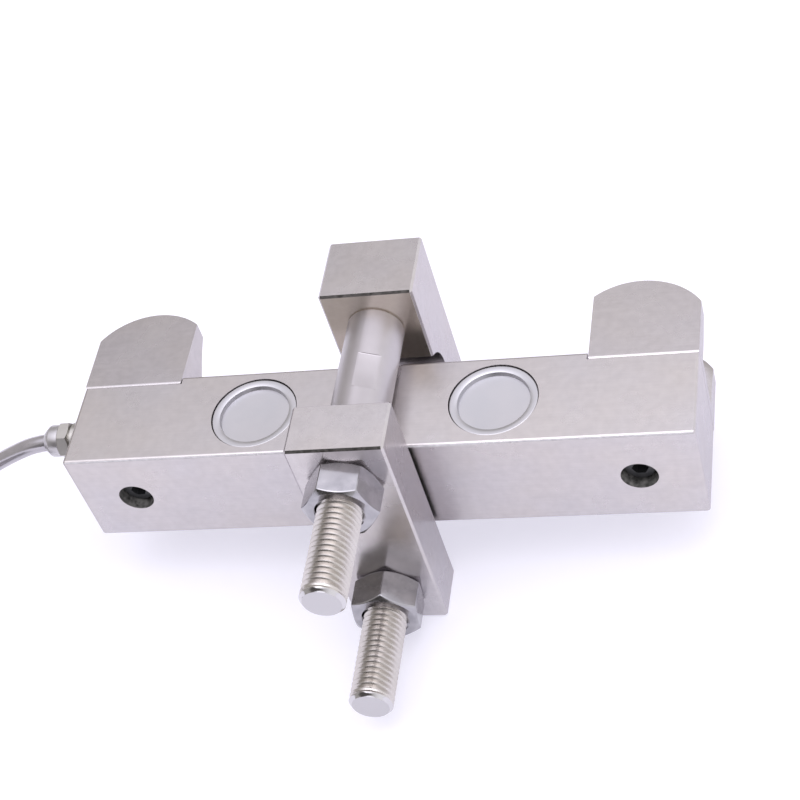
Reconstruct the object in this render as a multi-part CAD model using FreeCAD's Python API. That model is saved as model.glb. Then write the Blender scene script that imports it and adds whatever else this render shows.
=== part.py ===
import FreeCAD
import Part
import math
import os

Vec = FreeCAD.Vector

# All sizes are in millimetres. The sketch frame has X along the beam from its middle, Y from the beam's
# front face towards the back, and Z up from the beam's mid-height. place() moves it to the part's own frame.

# Load beam
BEAM_LENGTH = 265.0
BEAM_DEPTH = 45.0
BEAM_HEIGHT = 50.0
BEAM_EDGE_ROUND = 1.4

# Gauge stations, one pocket above and one below each web
GAUGE_SPACING = 102.0
POCKET_DIAMETER = 31.0
WEB_THICKNESS = 6.0
GAUGE_LENGTH = 12.0
GAUGE_WIDTH = 9.0
GAUGE_THICKNESS = 0.4
GAUGE_ANGLE = 45.0

# Pressed covers over the pockets
COVER_DIAMETER = 36.6
COVER_GAP = 0.3
COVER_HEIGHT = 4.6
COVER_SHEET = 0.8
COVER_RIM_WIDTH = 2.2
COVER_RIM_CHAMFER = 0.5
COVER_STEP_WIDTH = 1.0
COVER_STEP_DEPTH = 2.6
COVER_RECESS = 0.5

# Wiring inside the beam
WIRE_AXIS_HEIGHT = 13.5
LEAD_DIAMETER = 4.0
LEAD_CLEARANCE = 0.3
LEAD_TAIL = 4.0
WEB_HOLE_DIAMETER = 3.0
WEB_HOLE_OFFSET = 10.5
BOARD_LENGTH = 10.0
BOARD_WIDTH = 4.0
BOARD_THICKNESS = 1.0
BOARD_OFFSET = 10.5

# Rope groove, the same round section in the saddles and in the clamp block
ROPE_GROOVE_RADIUS = 18.0
ROPE_GROOVE_DEPTH = 11.0

# Rope saddles
SADDLE_LENGTH = 44.5
SADDLE_SEAT_DEPTH = 4.0
SADDLE_SEAT_CLEARANCE = 0.5
SADDLE_CROWN_RADIUS = 29.5
SADDLE_CROWN_AXIS_RISE = 12.5
SADDLE_GROOVE_FLOOR = 5.5
SADDLE_FOOT_ROUND = 1.6

# Socket-head screws that hold the saddles
SADDLE_SCREW_INSET = 25.0
SCREW_DIAMETER = 8.0
SCREW_LENGTH = 45.0
SCREW_HEAD_DIAMETER = 13.0
SCREW_HEAD_HEIGHT = 8.0
SCREW_HEAD_CHAMFER = 0.6
SCREW_TIP_CHAMFER = 0.8
SOCKET_FLATS = 6.0
SOCKET_DEPTH = 4.0
COUNTERBORE_DIAMETER = 15.0
COUNTERBORE_DEPTH = 12.0
SCREW_HOLE_CLEARANCE = 0.5
TAPPED_CLEARANCE = 0.1
TAPPED_RUNOUT = 3.0

# Clamp jaws
CLAMP_WIDTH = 40.0
CLAMP_HEIGHT = 112.0
PLATE_THICKNESS = 23.5
PLATE_GAP = 2.7
BLOCK_THICKNESS = 32.0
BLOCK_GAP = 10.5
CLAMP_CHAMFER = 0.9

# Shouldered studs
SHANK_DIAMETER = 24.0
STUD_THREAD_DIAMETER = 18.0
STUD_REACH = 56.3
STUD_ROOT_LENGTH = 24.0
STUD_CHAMFER = 1.5
SHANK_CHAMFER = 0.6
STUD_SLOT_WIDTH = 20.0
STUD_SLOT_DEPTH = 1.5
STUD_PLAY = 0.5
STUD_HOLE_CLEARANCE = 0.5
WRENCH_FLATS = 22.0
WRENCH_FLAT_LENGTH = 18.0
UPPER_FLAT_TURN = 20.0
LOWER_FLAT_TURN = -40.0

# Hexagon nuts
NUT_FLATS = 27.0
NUT_HEIGHT = 15.0
NUT_CHAMFER_ANGLE = 30.0
NUT_FACE_LAND = 0.6
UPPER_NUT_TURN = 8.0
LOWER_NUT_TURN = 35.0

# Cable gland
GLAND_THREAD_DIAMETER = 12.0
GLAND_THREAD_LENGTH = 9.0
GLAND_COLLAR_DIAMETER = 15.0
GLAND_COLLAR_LENGTH = 3.6
GLAND_HEX_START = 5.0
GLAND_FLATS = 14.0
GLAND_HEX_BEVEL = 0.5
GLAND_BODY_LENGTH = 9.8
GLAND_NOSE_DIAMETER = 10.4
GLAND_NOSE_LENGTH = 3.7
GLAND_SEAL_LENGTH = 1.8
GLAND_CAP_DIAMETER = 13.9
GLAND_CAP_LIP = 1.7
GLAND_CAP_CHAMFER = 2.3
GLAND_CAP_EDGE = 0.4
GLAND_FIT = 0.1
GLAND_TURN = 26.0
CABLE_START = 3.5

# Signal cable
CABLE_DIAMETER = 7.5
CABLE_CLEARANCE = 0.4
CABLE_LIP_CLEARANCE = 0.85
ROUND_SHARE = 0.45

# Route of the cable in the plane of the gland's axis, as distances along X and Z in the sketch frame
CABLE_ROUTE = [
    (-136.0, 13.5),
    (-152.5, 13.5),
    (-170.0, 6.4),
    (-192.5, -6.6),
    (-215.0, -20.3),
    (-238.5, -27.25),
    (-261.5, -27.25),
]

# Coil of the cable's spare length
COIL_MEAN_RADIUS = 44.0
COIL_ROWS = 4
COIL_TURNS_ABREAST = 3
COIL_TURN_PITCH = 7.9
COIL_ROW_PITCH = 7.8
COIL_SLACK = 0.2
COIL_EDGE = 3.0
TIE_WIDTH = 6.0
TIE_THICKNESS = 1.2
TIE_CLEARANCE = 0.2
TIE_ANGLE = 215.0

# Places that follow from the sizes
BEAM_END = BEAM_LENGTH / 2
BEAM_TOP = BEAM_HEIGHT / 2
BEAM_MID_DEPTH = BEAM_DEPTH / 2
SADDLE_X = BEAM_END - SADDLE_SCREW_INSET
SADDLE_BASE_Y = BEAM_DEPTH - SADDLE_SEAT_DEPTH
CROWN_AXIS_Y = SADDLE_BASE_Y + SADDLE_CROWN_AXIS_RISE
PLATE_FRONT_Y = -PLATE_GAP - PLATE_THICKNESS
BLOCK_FRONT_Y = BEAM_DEPTH + BLOCK_GAP
BLOCK_BACK_Y = BLOCK_FRONT_Y + BLOCK_THICKNESS
STUD_TIP_Y = PLATE_FRONT_Y - STUD_REACH
STUD_SPACING = BEAM_HEIGHT - 2 * STUD_SLOT_DEPTH + SHANK_DIAMETER + STUD_PLAY
CLAMP_RISE = STUD_PLAY / 2
FLOOR_Z = CLAMP_RISE - CLAMP_HEIGHT / 2
GLAND_NOSE_X = -BEAM_END - GLAND_BODY_LENGTH
PART_ORIGIN = Vec(0, (STUD_TIP_Y + BLOCK_BACK_Y) / 2, FLOOR_Z)


def box(low, high):
    """Box between two opposite corners."""
    return Part.makeBox(high[0] - low[0], high[1] - low[1], high[2] - low[2], Vec(*low))


def chamfered_box(low, high, size):
    """Box with every edge broken by a small chamfer."""
    block = box(low, high)
    return block.makeChamfer(size, block.Edges)


def turned(profile, start, axis):
    """Solid of revolution from (radius, height) points, with its axis from start along axis."""
    points = [Vec(radius, 0, height) for radius, height in profile]
    face = Part.Face(Part.makePolygon(points + points[:1]))
    solid = face.revolve(Vec(), Vec(0, 0, 1), 360)
    return set_along(solid, start, axis)


def set_along(shape, start, axis):
    """Move a shape that is drawn up the Z axis to start, pointing along axis."""
    shape.Placement = FreeCAD.Placement(Vec(*start), FreeCAD.Rotation(Vec(0, 0, 1), Vec(*axis)))
    return shape


def rod(diameter, start, end):
    """Plain round bar between two points."""
    run = Vec(*end) - Vec(*start)
    return Part.makeCylinder(diameter / 2, run.Length, Vec(*start), run)


def hexagon(flats, height, turn):
    """Hexagonal prism up the Z axis, with a corner at the angle turn from X."""
    corner = flats / math.sqrt(3)
    points = []
    for k in range(6):
        angle = math.radians(turn + 60 * k)
        points.append(Vec(corner * math.cos(angle), corner * math.sin(angle), 0))
    return Part.Face(Part.makePolygon(points + points[:1])).extrude(Vec(0, 0, height))


def pocket_cut(side, upper):
    """Gauge pocket with the wider seat of its cover, from the top or the bottom of the beam."""
    x = side * GAUGE_SPACING / 2
    level = 1 if upper else -1
    seat = COVER_DIAMETER + 2 * COVER_GAP
    top = (x, BEAM_MID_DEPTH, level * BEAM_TOP)
    shoulder = (x, BEAM_MID_DEPTH, level * (BEAM_TOP - COVER_HEIGHT - COVER_RECESS))
    web = (x, BEAM_MID_DEPTH, level * WEB_THICKNESS / 2)
    return rod(seat, shoulder, top).fuse(rod(POCKET_DIAMETER, web, top))


def load_beam():
    """Ground bar with gauge pockets, saddle seats, screw holes, wire bores and the stud slots."""
    bar = box((-BEAM_END, 0, -BEAM_TOP), (BEAM_END, BEAM_DEPTH, BEAM_TOP))
    bar = bar.makeFillet(BEAM_EDGE_ROUND, bar.Edges)
    cuts = []
    for side in (-1, 1):
        cuts += [pocket_cut(side, True), pocket_cut(side, False)]
        inner = side * (BEAM_END - SADDLE_LENGTH - SADDLE_SEAT_CLEARANCE)
        outer = side * BEAM_LENGTH
        low = (min(inner, outer), SADDLE_BASE_Y, -BEAM_HEIGHT)
        high = (max(inner, outer), 2 * BEAM_DEPTH, BEAM_HEIGHT)
        cuts.append(box(low, high))
        screw_x = side * SADDLE_X
        cuts.append(rod(COUNTERBORE_DIAMETER, (screw_x, 0, 0), (screw_x, COUNTERBORE_DEPTH, 0)))
        hole = SCREW_DIAMETER + 2 * SCREW_HOLE_CLEARANCE
        cuts.append(rod(hole, (screw_x, 0, 0), (screw_x, BEAM_DEPTH, 0)))
        web_x = side * (GAUGE_SPACING / 2 + WEB_HOLE_OFFSET)
        web_low = (web_x, BEAM_MID_DEPTH, -WEB_THICKNESS)
        web_high = (web_x, BEAM_MID_DEPTH, WEB_THICKNESS)
        cuts.append(rod(WEB_HOLE_DIAMETER, web_low, web_high))
    wire_bore = LEAD_DIAMETER + 2 * LEAD_CLEARANCE
    wire_start = (-BEAM_END, BEAM_MID_DEPTH, WIRE_AXIS_HEIGHT)
    cuts.append(rod(wire_bore, wire_start, (GAUGE_SPACING / 2, BEAM_MID_DEPTH, WIRE_AXIS_HEIGHT)))
    gland_bore = GLAND_THREAD_DIAMETER + 2 * TAPPED_CLEARANCE
    gland_end = (-BEAM_END + GLAND_THREAD_LENGTH + TAPPED_RUNOUT, BEAM_MID_DEPTH, WIRE_AXIS_HEIGHT)
    cuts.append(rod(gland_bore, wire_start, gland_end))
    for level in (-1, 1):
        slot_floor = level * (BEAM_TOP - STUD_SLOT_DEPTH)
        low = (-STUD_SLOT_WIDTH / 2, -BEAM_DEPTH, min(slot_floor, level * BEAM_HEIGHT))
        high = (STUD_SLOT_WIDTH / 2, 2 * BEAM_DEPTH, max(slot_floor, level * BEAM_HEIGHT))
        cuts.append(box(low, high))
    return bar.cut(cuts)


def saddle_groove():
    """Rope groove of the right saddle: round over the crown, then straight down at both ends."""
    path_radius = SADDLE_CROWN_RADIUS - ROPE_GROOVE_DEPTH + ROPE_GROOVE_RADIUS
    centre = Vec(SADDLE_X, CROWN_AXIS_Y, 0)
    groove = Part.makeTorus(path_radius, ROPE_GROOVE_RADIUS, centre, Vec(0, 0, 1), 0, 360, 180)
    legs = []
    for side in (-1, 1):
        leg_x = SADDLE_X + side * path_radius
        low = (leg_x, SADDLE_BASE_Y + SADDLE_GROOVE_FLOOR, 0)
        legs.append(rod(2 * ROPE_GROOVE_RADIUS, low, (leg_x, CROWN_AXIS_Y, 0)))
    return groove.fuse(legs)


def rope_saddle():
    """Right saddle: a D-shaped block with a tapped foot and a round groove over its crown."""
    inner_x = BEAM_END - SADDLE_LENGTH
    crown_y = CROWN_AXIS_Y + SADDLE_CROWN_RADIUS
    block = box((inner_x, SADDLE_BASE_Y, -BEAM_TOP), (BEAM_END, crown_y, BEAM_TOP))
    disc_low = (SADDLE_X, CROWN_AXIS_Y, -BEAM_TOP)
    disc = rod(2 * SADDLE_CROWN_RADIUS, disc_low, (SADDLE_X, CROWN_AXIS_Y, BEAM_TOP))
    foot = box((inner_x, SADDLE_BASE_Y, -BEAM_TOP), (BEAM_END, CROWN_AXIS_Y, BEAM_TOP))
    body = block.common(disc.fuse(foot)).removeSplitter()
    foot_edges = [e for e in body.Edges if e.BoundBox.YMax < SADDLE_BASE_Y + SADDLE_FOOT_ROUND]
    body = body.makeFillet(SADDLE_FOOT_ROUND, foot_edges)
    tip_y = COUNTERBORE_DEPTH + SCREW_LENGTH + TAPPED_RUNOUT
    tapped = rod(SCREW_DIAMETER + 2 * TAPPED_CLEARANCE, (SADDLE_X, 0, 0), (SADDLE_X, tip_y, 0))
    return body.cut([saddle_groove(), tapped])


def saddle_screw(side):
    """Socket-head screw from the counterbore into the saddle."""
    head = SCREW_HEAD_DIAMETER / 2
    shank = SCREW_DIAMETER / 2
    profile = [
        (0, -SCREW_HEAD_HEIGHT),
        (head - SCREW_HEAD_CHAMFER, -SCREW_HEAD_HEIGHT),
        (head, -SCREW_HEAD_HEIGHT + SCREW_HEAD_CHAMFER),
        (head, 0),
        (shank, 0),
        (shank, SCREW_LENGTH - SCREW_TIP_CHAMFER),
        (shank - SCREW_TIP_CHAMFER, SCREW_LENGTH),
        (0, SCREW_LENGTH),
    ]
    start = (side * SADDLE_X, COUNTERBORE_DEPTH, 0)
    screw = turned(profile, start, (0, 1, 0))
    socket_start = (side * SADDLE_X, COUNTERBORE_DEPTH - SCREW_HEAD_HEIGHT, 0)
    socket = set_along(hexagon(SOCKET_FLATS, SOCKET_DEPTH, 0), socket_start, (0, 1, 0))
    return screw.cut(socket)


def gauge_cover(side, upper):
    """Pressed dish: a skirt, a rim with broken edges and a step down to a flat middle."""
    level = 1 if upper else -1
    radius = COVER_DIAMETER / 2
    rim = radius - COVER_RIM_WIDTH
    dish = rim - COVER_STEP_WIDTH
    floor = COVER_HEIGHT - COVER_STEP_DEPTH
    lean = COVER_STEP_WIDTH / COVER_STEP_DEPTH
    wall = COVER_SHEET * (math.hypot(1, lean) - lean)
    profile = [
        (radius, 0),
        (radius, COVER_HEIGHT),
        (rim, COVER_HEIGHT),
        (dish, floor),
        (0, floor),
        (0, floor - COVER_SHEET),
        (dish + wall, floor - COVER_SHEET),
        (rim + wall, COVER_HEIGHT - COVER_SHEET),
        (radius - COVER_SHEET, COVER_HEIGHT - COVER_SHEET),
        (radius - COVER_SHEET, 0),
    ]
    seat_z = level * (BEAM_TOP - COVER_HEIGHT - COVER_RECESS)
    cover = turned(profile, (side * GAUGE_SPACING / 2, BEAM_MID_DEPTH, seat_z), (0, 0, level))
    rim_z = level * (BEAM_TOP - COVER_RECESS)
    rim_edges = [e for e in cover.Edges if on_level(e, rim_z)]
    return cover.makeChamfer(COVER_RIM_CHAMFER, rim_edges)


def on_level(edge, level):
    """True where a round edge lies in the horizontal plane at level."""
    bounds = edge.BoundBox
    return len(edge.Vertexes) == 1 and abs(bounds.ZMin - level) < 1e-3 and abs(bounds.ZMax - level) < 1e-3


def shear_gauge(side, upper):
    """Foil gauge bonded to the web, turned to the direction of the shear strain."""
    level = 1 if upper else -1
    low = (-GAUGE_LENGTH / 2, -GAUGE_WIDTH / 2, 0)
    foil = box(low, (GAUGE_LENGTH / 2, GAUGE_WIDTH / 2, GAUGE_THICKNESS))
    centre = (side * GAUGE_SPACING / 2, BEAM_MID_DEPTH, level * WEB_THICKNESS / 2)
    foil = set_along(foil, centre, (0, 0, level))
    foil.rotate(Vec(*centre), Vec(0, 0, 1), side * GAUGE_ANGLE)
    return foil


def terminal_board():
    """Solder board of the bridge, on the web of the left pocket."""
    x = -GAUGE_SPACING / 2
    y = BEAM_MID_DEPTH + BOARD_OFFSET
    low = (x - BOARD_LENGTH / 2, y - BOARD_WIDTH / 2, WEB_THICKNESS / 2)
    high = (x + BOARD_LENGTH / 2, y + BOARD_WIDTH / 2, WEB_THICKNESS / 2 + BOARD_THICKNESS)
    return box(low, high)


def gland_lead():
    """Cores of the cable between its cut jacket and the left pocket."""
    pocket_x = -GAUGE_SPACING / 2 - POCKET_DIAMETER / 2
    start = (-BEAM_END - CABLE_START, BEAM_MID_DEPTH, WIRE_AXIS_HEIGHT)
    return rod(LEAD_DIAMETER, start, (pocket_x + LEAD_TAIL, BEAM_MID_DEPTH, WIRE_AXIS_HEIGHT))


def cross_lead():
    """Cores that join the two gauge stations."""
    reach = GAUGE_SPACING / 2 - POCKET_DIAMETER / 2 + LEAD_TAIL
    start = (-reach, BEAM_MID_DEPTH, WIRE_AXIS_HEIGHT)
    return rod(LEAD_DIAMETER, start, (reach, BEAM_MID_DEPTH, WIRE_AXIS_HEIGHT))


def stud_height(level):
    """Height of a stud's axis: level is 1 for the upper stud and -1 for the lower one."""
    return CLAMP_RISE + level * STUD_SPACING / 2


def clamp_jaw(front_y, back_y):
    """Rectangular jaw with broken edges."""
    low = (-CLAMP_WIDTH / 2, front_y, FLOOR_Z)
    high = (CLAMP_WIDTH / 2, back_y, FLOOR_Z + CLAMP_HEIGHT)
    return chamfered_box(low, high, CLAMP_CHAMFER)


def front_clamp_plate():
    """Front jaw with the two clearance holes of the studs."""
    hole = STUD_THREAD_DIAMETER + 2 * STUD_HOLE_CLEARANCE
    holes = []
    for level in (-1, 1):
        z = stud_height(level)
        holes.append(rod(hole, (0, PLATE_FRONT_Y, z), (0, -PLATE_GAP, z)))
    return clamp_jaw(PLATE_FRONT_Y, -PLATE_GAP).cut(holes)


def rear_clamp_block():
    """Back jaw with the rope groove across its front face and the blind holes of the studs."""
    groove_y = BLOCK_FRONT_Y + ROPE_GROOVE_DEPTH - ROPE_GROOVE_RADIUS
    groove_start = (-CLAMP_WIDTH, groove_y, CLAMP_RISE)
    cuts = [rod(2 * ROPE_GROOVE_RADIUS, groove_start, (CLAMP_WIDTH, groove_y, CLAMP_RISE))]
    hole = STUD_THREAD_DIAMETER + 2 * TAPPED_CLEARANCE
    hole_end = BLOCK_FRONT_Y + STUD_ROOT_LENGTH + TAPPED_RUNOUT
    for level in (-1, 1):
        z = stud_height(level)
        cuts.append(rod(hole, (0, BLOCK_FRONT_Y, z), (0, hole_end, z)))
    return clamp_jaw(BLOCK_FRONT_Y, BLOCK_BACK_Y).cut(cuts)


def stud(level, flat_turn):
    """Stud with a thick shank between the jaws, two wrench flats and a long threaded front end."""
    thread = STUD_THREAD_DIAMETER / 2
    shank = SHANK_DIAMETER / 2
    tip = thread - STUD_CHAMFER
    plate_back = -PLATE_GAP - STUD_TIP_Y
    block_front = BLOCK_FRONT_Y - STUD_TIP_Y
    root = block_front + STUD_ROOT_LENGTH
    profile = [
        (0, 0),
        (tip, 0),
        (thread, STUD_CHAMFER),
        (thread, plate_back),
        (shank - SHANK_CHAMFER, plate_back),
        (shank, plate_back + SHANK_CHAMFER),
        (shank, block_front - SHANK_CHAMFER),
        (shank - SHANK_CHAMFER, block_front),
        (thread, block_front),
        (thread, root - STUD_CHAMFER),
        (tip, root),
        (0, root),
    ]
    z = stud_height(level)
    body = turned(profile, (0, STUD_TIP_Y, z), (0, 1, 0))
    cuts = []
    for flat_side in (0, 180):
        low = (-shank, BEAM_MID_DEPTH - WRENCH_FLAT_LENGTH / 2, z + WRENCH_FLATS / 2)
        high = (shank, BEAM_MID_DEPTH + WRENCH_FLAT_LENGTH / 2, z + SHANK_DIAMETER)
        flat = box(low, high)
        flat.rotate(Vec(0, 0, z), Vec(0, 1, 0), flat_turn + flat_side)
        cuts.append(flat)
    return body.cut(cuts)


def hexagon_nut(level, turn):
    """Nut on the front jaw, chamfered at both faces; turn is the angle of a flat from upright."""
    corner = NUT_FLATS / math.sqrt(3)
    land = NUT_FLATS / 2 - NUT_FACE_LAND
    drop = (corner - land) * math.tan(math.radians(NUT_CHAMFER_ANGLE))
    bore = STUD_THREAD_DIAMETER / 2 + TAPPED_CLEARANCE
    ring = [
        (bore, 0),
        (land, 0),
        (corner, drop),
        (corner, NUT_HEIGHT - drop),
        (land, NUT_HEIGHT),
        (bore, NUT_HEIGHT),
    ]
    start = (0, PLATE_FRONT_Y, stud_height(level))
    prism = set_along(hexagon(NUT_FLATS, NUT_HEIGHT, 0), start, (0, -1, 0))
    prism.rotate(Vec(*start), Vec(0, 1, 0), turn)
    return turned(ring, start, (0, -1, 0)).common(prism)


def gland_body():
    """Threaded spigot, collar, neck, hexagon and nose, with a stepped bore that stops the cable's jacket."""
    spigot = GLAND_THREAD_DIAMETER / 2
    collar = GLAND_COLLAR_DIAMETER / 2
    nose = GLAND_NOSE_DIAMETER / 2
    nose_end = GLAND_BODY_LENGTH + GLAND_NOSE_LENGTH
    lead_bore = LEAD_DIAMETER / 2 + LEAD_CLEARANCE
    cable_bore = CABLE_DIAMETER / 2 + CABLE_CLEARANCE
    corner = GLAND_FLATS / math.sqrt(3)
    profile = [
        (lead_bore, -GLAND_THREAD_LENGTH),
        (spigot, -GLAND_THREAD_LENGTH),
        (spigot, 0),
        (collar, 0),
        (collar, GLAND_COLLAR_LENGTH),
        (spigot, GLAND_COLLAR_LENGTH),
        (spigot, GLAND_HEX_START),
        (corner - 2 * GLAND_HEX_BEVEL, GLAND_HEX_START),
        (corner, GLAND_HEX_START + GLAND_HEX_BEVEL),
        (corner, GLAND_BODY_LENGTH - GLAND_HEX_BEVEL),
        (corner - 2 * GLAND_HEX_BEVEL, GLAND_BODY_LENGTH),
        (nose, GLAND_BODY_LENGTH),
        (nose, nose_end),
        (cable_bore, nose_end),
        (cable_bore, CABLE_START),
        (lead_bore, CABLE_START),
    ]
    start = (-BEAM_END, BEAM_MID_DEPTH, WIRE_AXIS_HEIGHT)
    body = turned(profile, start, (-1, 0, 0))
    hex_start = gland_span(GLAND_HEX_START, GLAND_BODY_LENGTH)[0]
    hex_length = GLAND_BODY_LENGTH - GLAND_HEX_START
    prism = set_along(hexagon(GLAND_FLATS, hex_length, GLAND_TURN), hex_start, (-1, 0, 0))
    inner = rod(GLAND_COLLAR_DIAMETER, *gland_span(-GLAND_THREAD_LENGTH, GLAND_HEX_START))
    outer = rod(GLAND_NOSE_DIAMETER, *gland_span(GLAND_BODY_LENGTH, nose_end))
    return body.common(prism.fuse([inner, outer]))


def gland_span(inner, outer):
    """End points of a stretch of the gland's axis, as distances outside the beam's left end."""
    start = (-BEAM_END - inner, BEAM_MID_DEPTH, WIRE_AXIS_HEIGHT)
    return start, (-BEAM_END - outer, BEAM_MID_DEPTH, WIRE_AXIS_HEIGHT)


def gland_seal():
    """Rubber ring between the gland's nose and the lip of its cap."""
    inner = GLAND_BODY_LENGTH + GLAND_NOSE_LENGTH
    ring = rod(GLAND_NOSE_DIAMETER, *gland_span(inner, inner + GLAND_SEAL_LENGTH))
    return ring.cut(rod(CABLE_DIAMETER + 2 * CABLE_CLEARANCE, *gland_span(inner, inner + GLAND_SEAL_LENGTH)))


def gland_cap():
    """Round cap screwed over the nose, tapered towards the cable."""
    outside = GLAND_CAP_DIAMETER / 2
    cavity = GLAND_NOSE_DIAMETER / 2 + GLAND_FIT
    hole = CABLE_DIAMETER / 2 + CABLE_LIP_CLEARANCE
    lip = GLAND_NOSE_LENGTH + GLAND_SEAL_LENGTH
    length = lip + GLAND_CAP_LIP
    profile = [
        (cavity, 0),
        (outside - GLAND_CAP_EDGE, 0),
        (outside, GLAND_CAP_EDGE),
        (outside, length - GLAND_CAP_CHAMFER),
        (outside - GLAND_CAP_CHAMFER / 2, length),
        (hole, length),
        (hole, lip),
        (cavity, lip),
    ]
    start = (GLAND_NOSE_X, BEAM_MID_DEPTH, WIRE_AXIS_HEIGHT)
    return turned(profile, start, (-1, 0, 0))


def rounded_path(points):
    """Wire of straight runs joined by tangent arcs, each as large as its two runs allow."""
    edges = []
    radii = []
    start = points[0]
    for before, corner, after in zip(points, points[1:], points[2:]):
        back = before - corner
        ahead = after - corner
        reach = ROUND_SHARE * min(back.Length, ahead.Length)
        half_turn = (math.pi - back.getAngle(ahead)) / 2
        radius = reach / math.tan(half_turn)
        back.normalize()
        ahead.normalize()
        inward = back + ahead
        inward.normalize()
        enter = corner + back * reach
        leave = corner + ahead * reach
        middle = corner + inward * (radius / math.cos(half_turn) - radius)
        edges.append(Part.LineSegment(start, enter).toShape())
        edges.append(Part.Arc(enter, middle, leave).toShape())
        radii.append(radius)
        start = leave
    edges.append(Part.LineSegment(start, points[-1]).toShape())
    return Part.Wire(edges), radii


def signal_cable():
    """Cable from the stop in the gland to the coil, in the vertical plane of the gland's axis."""
    points = [Vec(x, BEAM_MID_DEPTH, z) for x, z in CABLE_ROUTE]
    path, radii = rounded_path(points)
    section = Part.Wire(Part.makeCircle(CABLE_DIAMETER / 2, points[0], points[1] - points[0]))
    cable = path.makePipeShell([section], True, False)
    expected = math.pi * CABLE_DIAMETER ** 2 / 4 * path.Length
    print("cable bend radii", [round(radius, 1) for radius in radii])
    print("cable volume over section times length", round(cable.Volume / expected, 4))
    return cable


def coil_outer_radius():
    """Radius of the line that the coil's outermost turn follows."""
    return COIL_MEAN_RADIUS + (COIL_TURNS_ABREAST - 1) * COIL_TURN_PITCH / 2


def coil_bottom():
    """Height of the coil's underside, which lies on its tie."""
    return FLOOR_Z + TIE_THICKNESS + TIE_CLEARANCE


def coil_section():
    """Lowest and highest (radius, height) of the space that the coil's turns fill."""
    half_cable = CABLE_DIAMETER / 2 + COIL_SLACK
    inner = coil_outer_radius() - (COIL_TURNS_ABREAST - 1) * COIL_TURN_PITCH - half_cable
    height = (COIL_ROWS - 1) * COIL_ROW_PITCH + 2 * half_cable
    return (inner, coil_bottom()), (coil_outer_radius() + half_cable, coil_bottom() + height)


def coil_centre():
    """Foot of the coil's axis: the cable's last point lies on its outermost turn."""
    return Vec(CABLE_ROUTE[-1][0], BEAM_MID_DEPTH - coil_outer_radius(), 0)


def cable_coil():
    """Outer shape of the coil, with a notch where the cable runs in along its top outer turn."""
    low, high = coil_section()
    profile = [low, (high[0], low[1]), high, (low[0], high[1])]
    ring = turned(profile, (0, 0, 0), (0, 0, 1))
    ring.translate(coil_centre())
    ring = ring.makeChamfer(COIL_EDGE, [e for e in ring.Edges if len(e.Vertexes) == 1])
    end_x, end_z = CABLE_ROUTE[-1]
    half_cable = CABLE_DIAMETER / 2 + COIL_SLACK
    notch_low = (end_x, BEAM_MID_DEPTH - half_cable, end_z - half_cable)
    notch_high = (end_x + high[0], BEAM_MID_DEPTH + high[0], high[1] + CABLE_DIAMETER)
    return ring.cut(box(notch_low, notch_high))


def coil_tie():
    """Strap round the coil's section, flat on the floor."""
    low, high = coil_section()
    inner = box(
        (low[0] - TIE_CLEARANCE, -TIE_WIDTH, low[1] - TIE_CLEARANCE),
        (high[0] + TIE_CLEARANCE, TIE_WIDTH, high[1] + TIE_CLEARANCE),
    )
    gap = TIE_CLEARANCE + TIE_THICKNESS
    outer = box(
        (low[0] - gap, -TIE_WIDTH / 2, low[1] - gap),
        (high[0] + gap, TIE_WIDTH / 2, high[1] + gap),
    )
    strap = outer.cut(inner)
    strap.rotate(Vec(), Vec(0, 0, 1), TIE_ANGLE)
    strap.translate(coil_centre())
    return strap


def pieces():
    """Every piece by its node name, in the sketch frame."""
    right_saddle = rope_saddle()
    nodes = {
        "load_beam": load_beam(),
        "right_rope_saddle": right_saddle,
        "left_rope_saddle": right_saddle.mirror(Vec(), Vec(1, 0, 0)),
        "bridge_terminal_board": terminal_board(),
        "gland_lead": gland_lead(),
        "cross_lead": cross_lead(),
        "front_clamp_plate": front_clamp_plate(),
        "rear_clamp_block": rear_clamp_block(),
        "upper_stud": stud(1, UPPER_FLAT_TURN),
        "lower_stud": stud(-1, LOWER_FLAT_TURN),
        "upper_nut": hexagon_nut(1, UPPER_NUT_TURN),
        "lower_nut": hexagon_nut(-1, LOWER_NUT_TURN),
        "gland_body": gland_body(),
        "gland_seal": gland_seal(),
        "gland_cap": gland_cap(),
        "signal_cable": signal_cable(),
        "cable_coil": cable_coil(),
        "coil_tie": coil_tie(),
    }
    for side, side_name in ((-1, "left"), (1, "right")):
        nodes[side_name + "_saddle_screw"] = saddle_screw(side)
        for upper, level_name in ((True, "top"), (False, "bottom")):
            nodes[level_name + "_" + side_name + "_gauge_cover"] = gauge_cover(side, upper)
            nodes[level_name + "_" + side_name + "_gauge"] = shear_gauge(side, upper)
    return nodes


def place(shape):
    """Move a piece to the part's frame: on the floor, midway between the stud tips and the block's back."""
    moved = shape.copy()
    moved.translate(Vec() - PART_ORIGIN)
    return moved


os.makedirs("parts", exist_ok=True)
for name, piece in pieces().items():
    place(piece).exportStep("parts/" + name + ".step")
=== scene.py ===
import math

import bmesh
import bpy
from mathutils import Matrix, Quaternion, Vector
from mathutils.geometry import convex_hull_2d


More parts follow.
